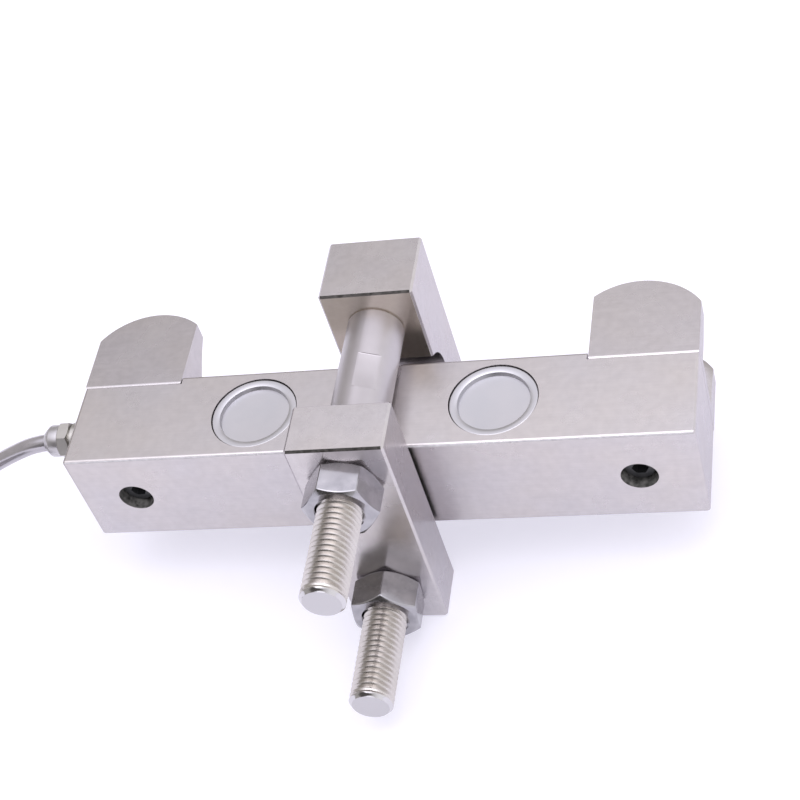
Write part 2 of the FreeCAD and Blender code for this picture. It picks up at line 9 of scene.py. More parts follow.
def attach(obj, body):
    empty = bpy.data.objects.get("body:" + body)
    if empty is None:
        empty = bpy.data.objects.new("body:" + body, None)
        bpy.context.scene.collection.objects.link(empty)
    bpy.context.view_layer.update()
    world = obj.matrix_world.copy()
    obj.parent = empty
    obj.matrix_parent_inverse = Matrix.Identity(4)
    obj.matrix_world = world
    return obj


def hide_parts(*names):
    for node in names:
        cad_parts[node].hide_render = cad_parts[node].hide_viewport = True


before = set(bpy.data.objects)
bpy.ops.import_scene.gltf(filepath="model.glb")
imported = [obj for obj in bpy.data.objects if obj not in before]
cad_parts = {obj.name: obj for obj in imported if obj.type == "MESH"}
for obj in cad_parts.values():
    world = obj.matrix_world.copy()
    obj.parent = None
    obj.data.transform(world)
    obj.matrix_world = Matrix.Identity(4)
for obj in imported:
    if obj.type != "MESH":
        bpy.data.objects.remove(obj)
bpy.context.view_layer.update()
MM = 0.001

# Camera of the photograph: place and sensor in millimetres, clip distances in metres
CAMERA_PLACE = (214.07, -454.43, 621.22)
CAMERA_AIM = (-0.270119, 0.636936, -0.722044)
CAMERA_ROLL = -20.23
CAMERA_LENS = 82.754
CAMERA_SENSOR = 36.0
CAMERA_CLIP = (0.01, 100.0)

# Signal cable: the route of part.py, then the coil's turns
CABLE_DIAMETER = 7.5
CABLE_ORDER = 3
CABLE_FINENESS = 5
CABLE_ROUTE = [
    (-136.0, 20.0, 69.25),
    (-152.5, 20.0, 69.25),
    (-170.0, 20.0, 62.15),
    (-192.5, 20.0, 49.15),
    (-215.0, 20.0, 35.45),
    (-238.5, 20.0, 28.5),
    (-261.5, 20.0, 28.5),
]
COIL_RADIUS = 51.9
COIL_ROWS = 4
COIL_TURN_PITCH = 7.9
COIL_ROW_PITCH = 7.8
COIL_ROW_SWEEP = 900
COIL_START = 90
COIL_STEP = 15
COIL_SHIFTS = ((190, 270), (550, 630))
COIL_DROP = 25
TIE_ANGLE = 215.0
TIE_WIDTH = 6.0
TIE_THICKNESS = 1.2
TIE_GAP = 0.05
TIE_POINTS = 24

# Studs
STUD_HEIGHTS = {"lower_stud": 20.25, "upper_stud": 91.75}
FLAT_TURNS = {"lower_stud": -40.0, "upper_stud": 20.0}
STUD_TIP = -85.0
STUD_SHOULDER = -5.2
STUD_BLOCK = 53.0
STUD_END = 77.0
SHANK_RADIUS = 12.0
SHANK_CHAMFER = 0.6
SHANK_STEP = 5
SHANK_WELD = 1e-4
FLAT_REACH = 11.0
FLAT_SPAN = (11.0, 29.0)
FLAT_CORNER = 0.4
FLAT_CORNER_STEPS = 6
FLAT_STEPS = 4
FLAT_MARGIN = 1
THREAD_RADIUS = 9.0
THREAD_PITCH = 2.5
THREAD_STEPS = 48
THREAD_LEAD = 2
THREAD_WELD = 1e-5
CUT_CLOSE = 1e-6
RIM_CLOSE = 1e-4
TIP_CHAMFER = 1.4
TIP_PLAIN = (1.5, 4.2)
# Share of the pitch and depth at each point of the thread's outline
THREAD_PROFILE = [
    (0.0, -0.06),
    (0.03, 0.0),
    (0.095, 0.0),
    (0.125, -0.06),
    (0.28, -0.72),
    (0.42, -1.30),
    (0.50, -1.48),
    (0.62, -1.48),
    (0.70, -1.30),
    (0.84, -0.72),
]

# Nuts on the front jaw
NUT_HEIGHTS = {"lower_nut": 20.25, "upper_nut": 91.75}
NUT_TURNS = {"lower_nut": 35.0, "upper_nut": 8.0}
NUT_SEAT = -28.7
NUT_LENGTH = 15.0
NUT_SIDES = 6
NUT_FLATS = 27.0
NUT_LAND = 12.9
NUT_CORNER = 15.46
NUT_SLOPE = 0.577
NUT_ROUND = 0.5
NUT_ROUND_STEPS = 4
NUT_BORE = 9.1
NUT_SINK = 0.9
NUT_SHARP = 24
NUT_ANGLES = (-30, -29.6, -29.2, -26, -20, -13, -6, 0, 6, 13, 20, 26, 29.2, 29.6)

# Heights of the jaws and of the beam between them, and the beam's counterbores
JAW_HEIGHT = 112.0
BEAM_LEVELS = (30.75, 80.75)
BORE_STATION = 107.5
BORE_LEVEL = 55.75
BORE_REACH = 7.56

# Gauge covers
COVER_STATIONS = {"left": -51.0, "right": 51.0}
COVER_DEPTH = 20.0
COVER_LEVELS = {"top": (80.25, 1), "bottom": (31.25, -1)}
COVER_RADIUS = 18.3
COVER_INSIDE = 17.5
COVER_HEIGHT = 4.6
COVER_EDGE = 0.4
COVER_EDGE_STEPS = 4
COVER_RIM = 17.7
COVER_FLOOR = 15.1
COVER_SINK = 0.3
COVER_CURVE = 3.0
COVER_STEP = (0.35, 1.9)
COVER_DISH = 0.15
COVER_POINTS = 10

# Gland cap
CAP_START = (-142.3, 20.0, 69.25)
CAP_RADIUS = 6.95
CAP_CAVITY = 5.3
CAP_HOLE = 3.95
CAP_LIP = 5.5
CAP_LENGTH = 7.2
CAP_EDGE = 0.3
CAP_MOUTH = 4.6
CAP_TAPER = 4.6

# Bare cores at the cable's end
CORE_TINTS = {
    "red": ((0.50, 0.05, 0.04), (0.56, 0.07, 0.06)),
    "black": ((0.02, 0.02, 0.02), (0.035, 0.035, 0.035)),
    "green": ((0.04, 0.30, 0.10), (0.06, 0.36, 0.13)),
    "white": ((0.76, 0.75, 0.72), (0.80, 0.79, 0.77)),
}
CORE_RADIUS = 0.6
CORE_BARE_RADIUS = 0.48
CORE_PITCH = 1.1
CORE_LENGTH = 20.0
CORE_BARE = 5.0
CORE_SPREAD = 2.2
CORE_START = 45
CORE_STATIONS = 10
CORE_SIDES = 12

# Steps round a turned piece, and the angle in degrees from which its edges are sharp
TURN_STEPS = 96
SHARP_ANGLE = 35

# Finishes and painted light and shade, each with the two tints between which it varies
STEEL = ((0.585, 0.55, 0.535), (0.567, 0.545, 0.558))
SADDLE_STEEL = ((0.54, 0.51, 0.50), (0.527, 0.504, 0.518))
# Painted shade over the counterbores' walls, mottled like drill marks
DRILL_MARKS_AND_SHADE = ((0.04, 0.041, 0.037), (0.30, 0.295, 0.28))
# Painted highlight along the beam's front top edge, in place of the bright line its rounded edge reflects
PAINTED_EDGE_HIGHLIGHT = ((0.52, 0.51, 0.53), (0.70, 0.69, 0.71))
# Painted warm reflection on the rear block's front face
PAINTED_WARM_REFLECTION = ((0.70, 0.64, 0.56), (0.74, 0.68, 0.60))
# Painted shade on the plate's back, in the gap where it faces the beam
PAINTED_GAP_SHADE = ((0.03, 0.028, 0.025), (0.06, 0.055, 0.05))
# Painted shade along the jaws' upper front edges
PAINTED_EDGE_SHADE = ((0.055, 0.052, 0.048), (0.15, 0.143, 0.135))
CUT_THREAD = ((0.58, 0.55, 0.515), (0.62, 0.59, 0.57))
SATIN_SHANK = ((0.50, 0.475, 0.49), (0.54, 0.515, 0.53))
CAP_NICKEL = ((0.54, 0.53, 0.545), (0.60, 0.585, 0.59))
GLAND_NICKEL = ((0.47, 0.455, 0.425), (0.53, 0.515, 0.485))
JACKET_GREY = ((0.46, 0.445, 0.47), (0.52, 0.50, 0.53))
NUT_ZINC = ((0.34, 0.335, 0.355), (0.46, 0.45, 0.47))
PRESSED_SHEET = ((0.555, 0.555, 0.58), (0.59, 0.58, 0.60))
TIE_BLACK = ((0.03, 0.03, 0.03), (0.05, 0.05, 0.05))
SCREW_OXIDE = ((0.02, 0.021, 0.022), (0.04, 0.042, 0.045))
SEAL_RUBBER = ((0.03, 0.03, 0.03), (0.045, 0.045, 0.045))
GAUGE_AMBER = ((0.70, 0.42, 0.10), (0.78, 0.52, 0.16))
BOARD_GREEN = ((0.08, 0.28, 0.14), (0.11, 0.34, 0.17))
LEAD_RED = ((0.50, 0.08, 0.06), (0.58, 0.11, 0.09))
TIP_BEVEL = (0.60, 0.59, 0.60)
TIP_DISC = (0.53, 0.52, 0.53)
TINNED_END = (0.62, 0.62, 0.63)
EDGE_TINT = (0.81, 0.80, 0.83, 1.0)

# Noise in the finishes: scales per metre, spans of brightness, relief in metres
GRAIN_X = (50, 1300, 1300)
GRAIN_Z = (1300, 1300, 50)
GRAIN_TURNED = (200, 2500, 200)
GRAIN_PLATED = 1800
BLOTCH_SCALE = 22
MOTTLE_SCALE = 300
GLOSS_SCALE = 60
DRILL_SCALE = 420
JAW_SCALE = 500
STUD_SCALE = 90
STUD_GLOSS_SCALE = 400
MOULD_SCALE = 120
MOULD_GLOSS_SCALE = 300
PLATE_GLOSS_FINER = 4
NOISE_SPAN = (0.3, 0.7)
STREAK_SPAN = (0.975, 1.015)
MOTTLE_SPAN = (0.955, 1.03)
MOULD_GLOSS_SPAN = 0.06
METAL_RELIEF = 0.00003
MOULD_RELIEF = 0.00005

# The beam's edge with a painted highlight and the jaws' upper edges with painted shade, by the way they face
# and how closely, and depths of painted faces
BEAM_EDGE = ((0, -0.7986, 0.6018), 0.972)
JAW_EDGE = ((0, -0.7071, 0.7071), 0.98)
FACE_DEPTH = 0.05
DISC_DEPTH = 0.02

# Sockets of a mix node that take and give colours
MIX_COLOURS = (6, 7)
MIX_RESULT = 2

# Floor, lamp and surroundings, in metres
FLOOR_HALF = 40.0
FLOOR_COLOUR = (0.55, 0.547, 0.56)
FLOOR_TINT = (1.0, 0.985, 1.14, 1)
FLOOR_GLOW = 0.5
LAMP_PLACE = (0.05, -0.08, 1.25)
LAMP_AIM = (0.0, 0.0, 0.0)
LAMP_SIZE = (1.25, 0.85)
LAMP_RADIANCE = 1.47
LAMP_COLOUR = (1.0, 0.985, 1.03)
SKY_LOW = (0.50, 0.475, 0.46)
SKY_HIGH = (1.48, 1.45, 1.585)
SKY_UP = (0.0, 0.0, 1.0)
SKY_RISE = (0.58, 0.84)
SKY_SIDE = (1.15, 1.13, 1.18)
SIDE_WAY = (1.0, 0.0, 0.0)
SIDE_REACH = (0.0, 0.6)
SKY_DARK = (0.10, 0.092, 0.088)
DARK_SIDE = (-0.32, -0.89, 0.32)
DARK_REACH = (0.85, 0.94)


def metres(point):
    """A point or length given in millimetres."""
    return Vector(point) * MM


def smooth(share):
    """Ease from 0 to 1."""
    share = min(1.0, max(0.0, share))
    return share * share * (3 - 2 * share)


def mesh_piece(name, mesh_data, material, replaced, sharp=SHARP_ANGLE):
    """Object from a finished bmesh, riding on the part in place of its CAD nodes."""
    mesh = bpy.data.meshes.new(name)
    mesh_data.to_mesh(mesh)
    mesh_data.free()
    mesh.polygons.foreach_set("use_smooth", [True] * len(mesh.polygons))
    mesh.set_sharp_from_angle(angle=math.radians(sharp))
    piece = bpy.data.objects.new(name, mesh)
    bpy.context.scene.collection.objects.link(piece)
    mesh.materials.append(material)
    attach(piece, "root")
    if replaced:
        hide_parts(*replaced)
    return piece


def skin(part, rings, closed):
    """Faces from each ring of points to the next, and from the last to the first if closed."""
    following = rings[1:] + rings[:1] if closed else rings[1:]
    for first, second in zip(rings, following):
        for k in range(len(first)):
            after = (k + 1) % len(first)
            if len(second) == 1:
                part.faces.new((first[k], first[after], second[0]))
            else:
                part.faces.new((first[k], first[after], second[after], second[k]))


def new_material(name, base, metallic, roughness):
    """Node material with its shader's plain values set."""
    material = bpy.data.materials.new(name)
    material.use_nodes = True
    shader = material.node_tree.nodes["Principled BSDF"]
    shader.inputs["Base Color"].default_value = (*base, 1)
    shader.inputs["Metallic"].default_value = metallic
    shader.inputs["Roughness"].default_value = roughness
    return material, material.node_tree, shader


def axes(tree):
    """X, Y and Z in the part's own frame."""
    place = tree.nodes.new("ShaderNodeTexCoord")
    parts = tree.nodes.new("ShaderNodeSeparateXYZ")
    tree.links.new(place.outputs["Object"], parts.inputs["Vector"])
    return parts.outputs


def reckon(tree, operation, *terms):
    """Result of a math node, each term a socket or a plain number."""
    node = tree.nodes.new("ShaderNodeMath")
    node.operation = operation
    for socket, term in zip(node.inputs, terms):
        if isinstance(term, float):
            socket.default_value = term
        else:
            tree.links.new(term, socket)
    return node.outputs["Value"]


def along(tree, vector, direction):
    """How far a vector goes in a direction."""
    node = tree.nodes.new("ShaderNodeVectorMath")
    node.operation = "DOT_PRODUCT"
    node.inputs[1].default_value = direction
    tree.links.new(vector, node.inputs[0])
    return node.outputs["Value"]


def noise(tree, scale, detail, stretch=(1, 1, 1)):
    """Noise value in the part's own frame, with its features stretched along the axes."""
    place = tree.nodes.new("ShaderNodeTexCoord")
    mapping = tree.nodes.new("ShaderNodeMapping")
    mapping.inputs["Scale"].default_value = stretch
    texture = tree.nodes.new("ShaderNodeTexNoise")
    texture.inputs["Scale"].default_value = scale
    texture.inputs["Detail"].default_value = detail
    tree.links.new(place.outputs["Object"], mapping.inputs["Vector"])
    tree.links.new(mapping.outputs["Vector"], texture.inputs["Vector"])
    return texture.outputs["Fac"]


def spread(tree, value, low=0.0, high=1.0):
    """Value from a noise, which lies mostly in a middle span, spread between two numbers."""
    node = tree.nodes.new("ShaderNodeMapRange")
    node.inputs["From Min"].default_value = NOISE_SPAN[0]
    node.inputs["From Max"].default_value = NOISE_SPAN[1]
    node.inputs["To Min"].default_value = low
    node.inputs["To Max"].default_value = high
    tree.links.new(value, node.inputs["Value"])
    return node.outputs["Result"]


def eased(tree, value, low, high):
    """Smooth step from 0 at the low value to 1 at the high one."""
    node = tree.nodes.new("ShaderNodeMapRange")
    node.interpolation_type = "SMOOTHSTEP"
    node.inputs["From Min"].default_value = low
    node.inputs["From Max"].default_value = high
    tree.links.new(value, node.inputs["Value"])
    return node.outputs["Result"]


def mixed(tree, factor, first, second, mode="MIX"):
    """Colour mix, each colour a socket or plain numbers."""
    node = tree.nodes.new("ShaderNodeMix")
    node.data_type = "RGBA"
    node.blend_type = mode
    if isinstance(factor, float):
        node.inputs["Factor"].default_value = factor
    else:
        tree.links.new(factor, node.inputs["Factor"])
    for number, colour in zip(MIX_COLOURS, (first, second)):
        if isinstance(colour, tuple):
            node.inputs[number].default_value = (*colour, 1)
        else:
            tree.links.new(colour, node.inputs[number])
    return node.outputs[MIX_RESULT]


def bumped(tree, shader, height, strength, distance):
    """Fine relief from a height value."""
    bump = tree.nodes.new("ShaderNodeBump")
    bump.inputs["Strength"].default_value = strength
    bump.inputs["Distance"].default_value = distance
    tree.links.new(height, bump.inputs["Height"])
    tree.links.new(bump.outputs["Normal"], shader.inputs["Normal"])


def ground_steel(name, stretch, tints, rough):
    """Finely ground plated steel: blotchy tint, soft mottling and faint wheel lines."""
    material, tree, shader = new_material(name, tints[0], metallic=1.0, roughness=0.3)
    shader.inputs["Specular Tint"].default_value = EDGE_TINT
    tint = mixed(tree, spread(tree, noise(tree, BLOTCH_SCALE, detail=3)), *tints)
    lines = noise(tree, scale=1, detail=4, stretch=stretch)
    streaks = mixed(tree, 1.0, tint, spread(tree, lines, *STREAK_SPAN), "MULTIPLY")
    mottle = spread(tree, noise(tree, MOTTLE_SCALE, detail=4), *MOTTLE_SPAN)
    colour = mixed(tree, 1.0, streaks, mottle, "MULTIPLY")
    tree.links.new(colour, shader.inputs["Base Color"])
    gloss = spread(tree, noise(tree, GLOSS_SCALE, detail=4), *rough)
    tree.links.new(gloss, shader.inputs["Roughness"])
    bumped(tree, shader, lines, strength=0.03, distance=METAL_RELIEF)
    return material, tree, shader


def cover_patch(tree, shader, mask, colour, roughness, metallic):
    """Lay another finish, painted shade or painted highlight over a material where a mask is 1."""
    under = shader.inputs["Base Color"].links[0].from_socket
    gloss = shader.inputs["Roughness"].links[0].from_socket
    tree.links.new(mixed(tree, mask, under, colour), shader.inputs["Base Color"])
    tree.links.new(mixed(tree, mask, gloss, (roughness,) * 3), shader.inputs["Roughness"])
    metal = shader.inputs["Metallic"]
    if metal.links or metal.default_value != metallic:
        before = metal.links[0].from_socket if metal.links else (metal.default_value,) * 3
        tree.links.new(mixed(tree, mask, before, (metallic,) * 3), metal)


def bore_mask(tree):
    """1 inside the two counterbores of the beam, by distance from their axes."""
    place = axes(tree)
    flat = tree.nodes.new("ShaderNodeCombineXYZ")
    tree.links.new(reckon(tree, "ABSOLUTE", place["X"]), flat.inputs["X"])
    tree.links.new(place["Z"], flat.inputs["Y"])
    reach = tree.nodes.new("ShaderNodeVectorMath")
    reach.operation = "DISTANCE"
    reach.inputs[1].default_value = metres((BORE_STATION, BORE_LEVEL, 0))
    tree.links.new(flat.outputs["Vector"], reach.inputs[0])
    return reckon(tree, "LESS_THAN", reach.outputs["Value"], BORE_REACH * MM)


def edge_mask(tree, facing, least):
    """1 where the surface faces a direction, as an edge between two faces does."""
    normal = tree.nodes.new("ShaderNodeTexCoord").outputs["Normal"]
    return reckon(tree, "GREATER_THAN", along(tree, normal, facing), least)


def between_mask(tree, value, low, high):
    """1 where a place along an axis lies between two lengths."""
    return reckon(tree, "COMPARE", value, (low + high) / 2 * MM, (high - low) / 2 * MM)


def face_mask(tree, y, low, high):
    """1 on the flat faces that lie at one depth of the part, between two heights."""
    place = axes(tree)
    at_depth = between_mask(tree, place["Y"], y - FACE_DEPTH, y + FACE_DEPTH)
    return reckon(tree, "MULTIPLY", at_depth, between_mask(tree, place["Z"], low, high))


def beam_steel():
    """The beam's steel, with drill marks and painted shade in its counterbores and a painted highlight on
    its front edge.
    """
    material, tree, shader = ground_steel("beam_steel", GRAIN_X, STEEL, rough=(0.26, 0.33))
    marks = spread(tree, noise(tree, DRILL_SCALE, detail=5))
    # Painted shade in the counterbores, mottled like drill marks
    bore_shade = mixed(tree, marks, *DRILL_MARKS_AND_SHADE)
    cover_patch(tree, shader, bore_mask(tree), bore_shade, roughness=0.5, metallic=0.2)
    # Painted highlight on the beam's rounded front top edge
    edge_highlight = mixed(tree, marks, *PAINTED_EDGE_HIGHLIGHT)
    cover_patch(tree, shader, edge_mask(tree, *BEAM_EDGE), edge_highlight, roughness=0.5, metallic=0.0)
    return material


def jaw_steel():
    """The clamp's steel, with painted shade on the plate's back facing the beam, a painted warm reflection
    on the block's front face, and painted shade on the upper front edges.
    """
    material, tree, shader = ground_steel("jaw_steel", GRAIN_Z, STEEL, rough=(0.22, 0.3))
    marks = spread(tree, noise(tree, JAW_SCALE, detail=3))
    # Painted warm reflection on the block's front face
    block_face = face_mask(tree, STUD_BLOCK, 0, JAW_HEIGHT)
    cover_patch(tree, shader, block_face, mixed(tree, marks, *PAINTED_WARM_REFLECTION), roughness=0.28, metallic=1.0)
    # Painted shade in the gap between the plate's back and the beam
    plate_face = face_mask(tree, STUD_SHOULDER, *BEAM_LEVELS)
    cover_patch(tree, shader, plate_face, mixed(tree, marks, *PAINTED_GAP_SHADE), roughness=0.7, metallic=0.3)
    # Painted shade on the jaws' upper front chamfers
    edge = edge_mask(tree, *JAW_EDGE)
    cover_patch(tree, shader, edge, mixed(tree, marks, *PAINTED_EDGE_SHADE), roughness=0.45, metallic=1.0)
    return material


def stud_steel():
    """Turned steel, bright on the cut threads and the tip's bevel, satin on the shank."""
    material, tree, shader = new_material("turned_steel_bright", STEEL[0], metallic=1.0, roughness=0.2)
    tint = spread(tree, noise(tree, STUD_SCALE, detail=3))
    tree.links.new(mixed(tree, tint, *CUT_THREAD), shader.inputs["Base Color"])
    gloss = spread(tree, noise(tree, STUD_GLOSS_SCALE, detail=3), low=0.26, high=0.32)
    tree.links.new(gloss, shader.inputs["Roughness"])
    depth = axes(tree)["Y"]
    tip = reckon(tree, "LESS_THAN", depth, (STUD_TIP + TIP_CHAMFER) * MM)
    cover_patch(tree, shader, tip, TIP_BEVEL, roughness=0.14, metallic=1.0)
    disc = reckon(tree, "LESS_THAN", depth, (STUD_TIP + DISC_DEPTH) * MM)
    cover_patch(tree, shader, disc, TIP_DISC, roughness=0.3, metallic=1.0)
    shank = between_mask(tree, depth, STUD_SHOULDER, STUD_BLOCK)
    cover_patch(tree, shader, shank, mixed(tree, tint, *SATIN_SHANK), roughness=0.42, metallic=1.0)
    lines = noise(tree, scale=1, detail=3, stretch=GRAIN_TURNED)
    bumped(tree, shader, lines, strength=0.04, distance=METAL_RELIEF)
    return material


def plated_metal(name, tints, rough, scale, metallic=1.0):
    """Bright plated or turned metal with a faint tint change and fine marks."""
    material, tree, shader = new_material(name, tints[0], metallic, rough[0])
    tint = mixed(tree, spread(tree, noise(tree, scale, detail=3)), *tints)
    tree.links.new(tint, shader.inputs["Base Color"])
    gloss = spread(tree, noise(tree, PLATE_GLOSS_FINER * scale, detail=3), *rough)
    tree.links.new(gloss, shader.inputs["Roughness"])
    marks = noise(tree, GRAIN_PLATED, detail=2)
    bumped(tree, shader, marks, strength=0.03, distance=METAL_RELIEF)
    return material


def moulded(name, tints, roughness, grain):
    """Plastic, film or rubber with a faint change of tone and a fine moulded grain."""
    material, tree, shader = new_material(name, tints[0], 0.0, roughness)
    tint = mixed(tree, spread(tree, noise(tree, MOULD_SCALE, detail=3)), *tints)
    tree.links.new(tint, shader.inputs["Base Color"])
    rough = (roughness - MOULD_GLOSS_SPAN, roughness + MOULD_GLOSS_SPAN)
    gloss = spread(tree, noise(tree, MOULD_GLOSS_SCALE, detail=3), *rough)
    tree.links.new(gloss, shader.inputs["Roughness"])
    bumped(tree, shader, noise(tree, grain, detail=2), strength=0.1, distance=MOULD_RELIEF)
    return material


def core_material(name, tints):
    """Insulated core whose end is stripped and tinned."""
    material = moulded(name, tints, roughness=0.45, grain=1200)
    tree = material.node_tree
    strip_end = (CABLE_ROUTE[-1][0] - CORE_LENGTH + CORE_BARE) * MM
    stripped = reckon(tree, "LESS_THAN", axes(tree)["X"], strip_end)
    shader = tree.nodes["Principled BSDF"]
    cover_patch(tree, shader, stripped, TINNED_END, roughness=0.3, metallic=1.0)
    return material


def make_camera():
    """Camera at the photograph's place, aim, roll and lens."""
    data = bpy.data.cameras.new("camera")
    data.lens = CAMERA_LENS
    data.sensor_width = CAMERA_SENSOR
    data.clip_start, data.clip_end = CAMERA_CLIP
    camera = bpy.data.objects.new("camera", data)
    camera.location = metres(CAMERA_PLACE)
    camera.rotation_mode = "QUATERNION"
    aim = Vector(CAMERA_AIM).to_track_quat("-Z", "Y")
    camera.rotation_quaternion = aim @ Quaternion((0, 0, 1), math.radians(CAMERA_ROLL))
    bpy.context.scene.collection.objects.link(camera)
    bpy.context.scene.camera = camera


def coil_point(sweep):
    """Point of the coil after a sweep in degrees: rows wind inwards and outwards by turns, top row first."""
    row = min(COIL_ROWS - 1, int(sweep // COIL_ROW_SWEEP))
    in_row = sweep - row * COIL_ROW_SWEEP
    moved = sum(smooth((in_row - start) / (end - start)) for start, end in COIL_SHIFTS)
    if row % 2 == 1:
        moved = len(COIL_SHIFTS) - moved
    radius = COIL_RADIUS - moved * COIL_TURN_PITCH
    dropped = 0
    for k in range(1, COIL_ROWS):
        dropped += smooth((sweep - k * COIL_ROW_SWEEP + COIL_DROP) / (2 * COIL_DROP))
    end_x, end_y, end_z = CABLE_ROUTE[-1]
    angle = math.radians(COIL_START + sweep)
    x = end_x + radius * math.cos(angle)
    y = end_y - COIL_RADIUS + radius * math.sin(angle)
    return x, y, end_z - dropped * COIL_ROW_PITCH


def make_cable(material):
    """Cable on one smooth line from the gland to the coil and round its turns."""
    points = list(CABLE_ROUTE)
    sweep = COIL_STEP
    while sweep <= COIL_ROWS * COIL_ROW_SWEEP:
        points.append(coil_point(sweep))
        sweep += COIL_STEP
    data = bpy.data.curves.new("signal_cable_jacket", "CURVE")
    data.dimensions = "3D"
    data.resolution_u = CABLE_FINENESS
    data.bevel_depth = CABLE_DIAMETER / 2 * MM
    data.bevel_resolution = CABLE_FINENESS
    data.use_fill_caps = True
    spline = data.splines.new("NURBS")
    spline.points.add(len(points) - 1)
    for place, point in zip(spline.points, points):
        place.co = (*metres(point), 1)
    spline.order_u = CABLE_ORDER
    spline.use_endpoint_u = True
    cable = bpy.data.objects.new("signal_cable_jacket", data)
    bpy.context.scene.collection.objects.link(cable)
    data.materials.append(material)
    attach(cable, "root")
    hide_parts("signal_cable", "cable_coil")
    metres(CABLE_ROUTE[0])


def make_tie(material):
    """Strap that lies close round the coil's turns."""
    centre_x, top_y, _ = CABLE_ROUTE[-1]
    centre_y = top_y - COIL_RADIUS
    spots = []
    sweep = TIE_ANGLE - COIL_START
    while sweep < COIL_ROWS * COIL_ROW_SWEEP:
        x, y, z = coil_point(sweep)
        for k in range(TIE_POINTS):
            spots.append((math.hypot(x - centre_x, y - centre_y), z, 2 * math.pi * k / TIE_POINTS))
        sweep += 360
    inner = CABLE_DIAMETER / 2 + TIE_GAP
    section = [(r + inner * math.cos(a), z + inner * math.sin(a)) for r, z, a in spots]
    hull = [spots[k] for k in convex_hull_2d(section)]
    outward = Vector((math.cos(math.radians(TIE_ANGLE)), math.sin(math.radians(TIE_ANGLE)), 0))
    sideways = Vector((-outward.y, outward.x, 0))
    half = TIE_WIDTH / 2
    outer = inner + TIE_THICKNESS
    part = bmesh.new()
    rings = []
    for side, reach in ((-half, inner), (-half, outer), (half, outer), (half, inner)):
        ring = []
        for r, z, a in hull:
            spot = Vector((centre_x, centre_y, z + reach * math.sin(a)))
            spot += outward * (r + reach * math.cos(a)) + sideways * side
            ring.append(part.verts.new(metres(spot)))
        rings.append(ring)
    skin(part, rings, closed=True)
    bmesh.ops.recalc_face_normals(part, faces=part.faces)
    return mesh_piece("coil_tie_strap", part, material, ["coil_tie"])


def thread_rows(low, high):
    """Rows of (height, radius) pairs for one helical thread, each row one step further round."""
    rows = []
    turns = int((high - low) / THREAD_PITCH) + THREAD_LEAD + 1
    for step in range(THREAD_STEPS + 1):
        start = low + THREAD_PITCH * (step / THREAD_STEPS - THREAD_LEAD)
        row = []
        for turn_number in range(turns + 1):
            for share, drop in THREAD_PROFILE:
                height = start + (turn_number + share) * THREAD_PITCH
                row.append((height, THREAD_RADIUS + drop))
        rows.append(row)
    return rows


def add_thread(mesh_data, low, high):
    """Threaded bar about the Y axis between two heights, chamfered at its low end and closed at both."""
    part = bmesh.new()
    columns = []
    for step, row in enumerate(thread_rows(low, high)):
        angle = 2 * math.pi * step / THREAD_STEPS
        column = []
        for height, radius in row:
            cut = smooth((height - low - TIP_PLAIN[0]) / (TIP_PLAIN[1] - TIP_PLAIN[0]))
            cone = THREAD_RADIUS - TIP_CHAMFER + max(0.0, height - low)
            reach = min(THREAD_RADIUS + cut * (radius - THREAD_RADIUS), cone)
            column.append(part.verts.new((reach * math.cos(angle), height, reach * math.sin(angle))))
        columns.append(column)
    for left, right in zip(columns, columns[1:]):
        for k in range(len(left) - 1):
            part.faces.new((left[k], left[k + 1], right[k + 1], right[k]))
    bmesh.ops.remove_doubles(part, verts=part.verts, dist=THREAD_WELD)
    for height, outward in ((low, -1), (high, 1)):
        everything = part.verts[:] + part.edges[:] + part.faces[:]
        bmesh.ops.bisect_plane(part, geom=everything, dist=CUT_CLOSE, plane_co=(0, height, 0),
                               plane_no=(0, outward, 0), clear_outer=True)
        rim = []
        for edge in part.edges:
            if edge.is_boundary and all(abs(v.co.y - height) < RIM_CLOSE for v in edge.verts):
                rim.append(edge)
        bmesh.ops.contextual_create(part, geom=rim)
    join(mesh_data, part)


def shank_angles():
    """Angles of the points round the shank, with those across each flat spaced evenly."""
    edge = math.degrees(math.acos(FLAT_REACH / SHANK_RADIUS))
    angles = set(range(0, 360, SHANK_STEP))
    for side in (0, 180):
        angles = {a for a in angles if abs((a - side + 180) % 360 - 180) > edge + FLAT_MARGIN}
        angles |= {(side + edge * k / FLAT_STEPS) % 360 for k in range(-FLAT_STEPS, FLAT_STEPS + 1)}
    return sorted(angles)


def shank_stations(low, high):
    """(height, radius, reach of the flats) along the shank, chamfered at both ends."""
    stations = [
        (low, SHANK_RADIUS - SHANK_CHAMFER, SHANK_RADIUS),
        (low + SHANK_CHAMFER, SHANK_RADIUS, SHANK_RADIUS),
    ]
    for end, inward in ((FLAT_SPAN[0], 1), (FLAT_SPAN[1], -1)):
        run_out = []
        for k in range(FLAT_CORNER_STEPS + 1):
            bend = math.radians(90 * k / FLAT_CORNER_STEPS)
            height = end + inward * FLAT_CORNER * (1 - math.sin(bend))
            run_out.append((height, SHANK_RADIUS, FLAT_REACH + FLAT_CORNER * (1 - math.cos(bend))))
        stations += run_out if inward < 0 else run_out[::-1]
    stations += [
        (high - SHANK_CHAMFER, SHANK_RADIUS, SHANK_RADIUS),
        (high, SHANK_RADIUS - SHANK_CHAMFER, SHANK_RADIUS),
    ]
    return stations


